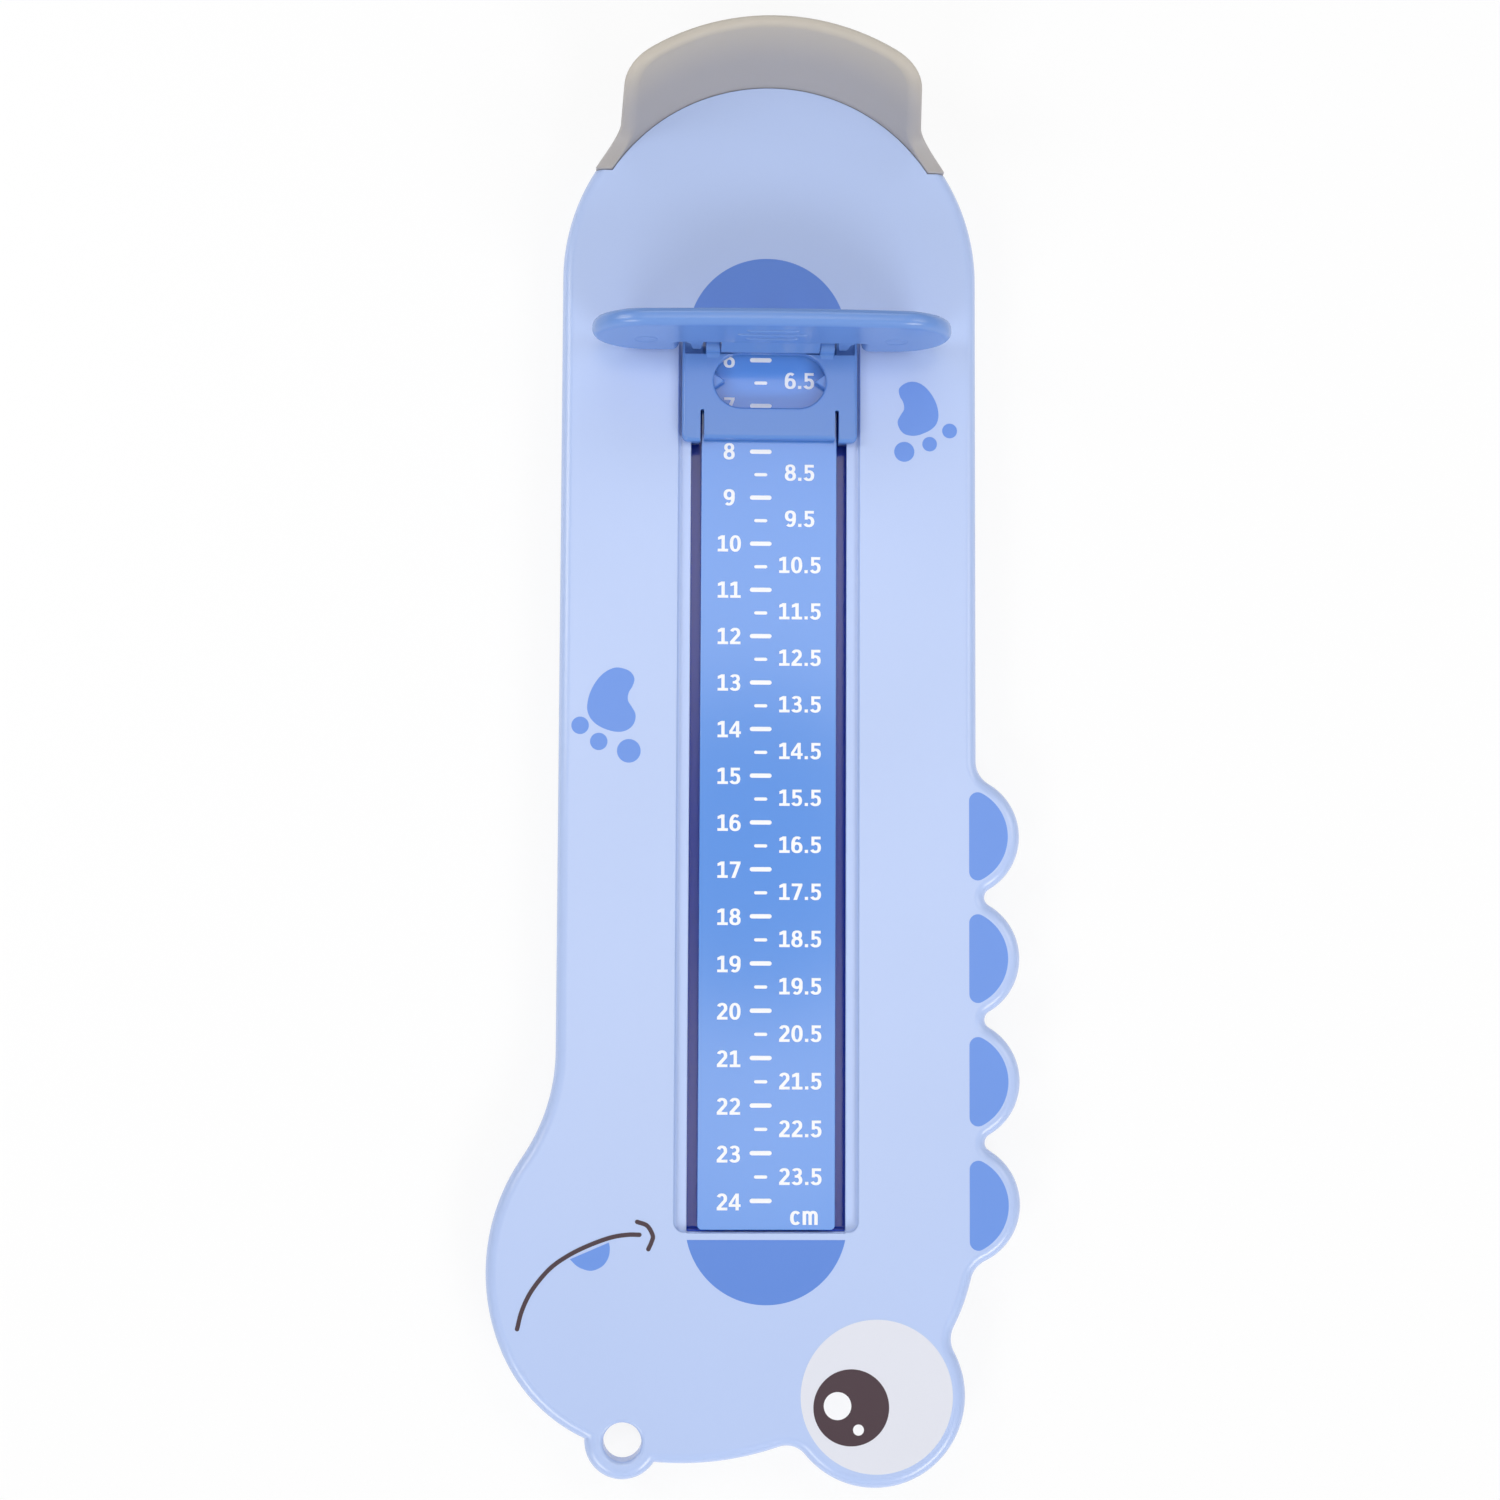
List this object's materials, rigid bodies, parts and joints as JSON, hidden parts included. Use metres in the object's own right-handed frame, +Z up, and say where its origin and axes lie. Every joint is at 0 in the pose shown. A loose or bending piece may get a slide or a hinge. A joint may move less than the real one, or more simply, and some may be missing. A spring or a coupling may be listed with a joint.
{
  "type": "foot measuring device",
  "caption": "Child's foot gauge: a dinosaur-shaped board with a heel wall, a centimetre scale and a sliding toe plate that folds flat.",
  "frame": {"origin": "on the flat underside of the bottom cover, on the board's centreline, half way along the board", "axes": "+X across the board to the side of the four spine bumps, +Y towards the heel wall, +Z up from the floor"},
  "size_m": [0.1132, 0.3085, 0.037],
  "materials": {
    "top_shell": "satin moulded plastic",
    "bottom_cover": "finely grained plastic",
    "slide_track": "semi-gloss plastic",
    "scale_strip": "polished",
    "heel_wall": "soft satin",
    "slider": "satin moulded plastic",
    "steel": "zinc plated",
    "rubber": "matte",
    "print_blue": "pad-printed ink",
    "print_white": "pad-printed ink",
    "print_dark": "pad-printed ink"
  },
  "bodies": {
    "base": {"top_shell": "top_shell", "bottom_cover": "bottom_cover", "slide_track": "slide_track", "scale_strip": "scale_strip", "heel_wall": "heel_wall", "cover_screw_1": "steel", "cover_screw_2": "steel", "cover_screw_3": "steel", "cover_screw_4": "steel", "cover_screw_5": "steel", "cover_screw_6": "steel", "cover_screw_7": "steel", "cover_screw_8": "steel", "heel_screw_1": "steel", "heel_screw_2": "steel", "heel_screw_3": "steel", "rubber_foot_1": "rubber", "rubber_foot_2": "rubber", "rubber_foot_3": "rubber", "rubber_foot_4": "rubber", "rubber_foot_5": "rubber", "rubber_foot_6": "rubber"},
    "slider": {"slider_carriage": "slider", "hinge_pin": "steel"},
    "toe_plate": {"toe_plate": "slider"}
  },
  "joints": [
    {"name": "slider_travel", "type": "slide", "parent": "base", "child": "slider", "axis": [0, -1, 0], "range_m": [-0.0015, 0.168]},
    {"name": "toe_plate_fold", "type": "hinge", "parent": "slider", "child": "toe_plate", "pos_m": [0, 0.09085, 0.0138], "axis": [-1, 0, 0], "range_deg": [0, 90]}
  ]
}
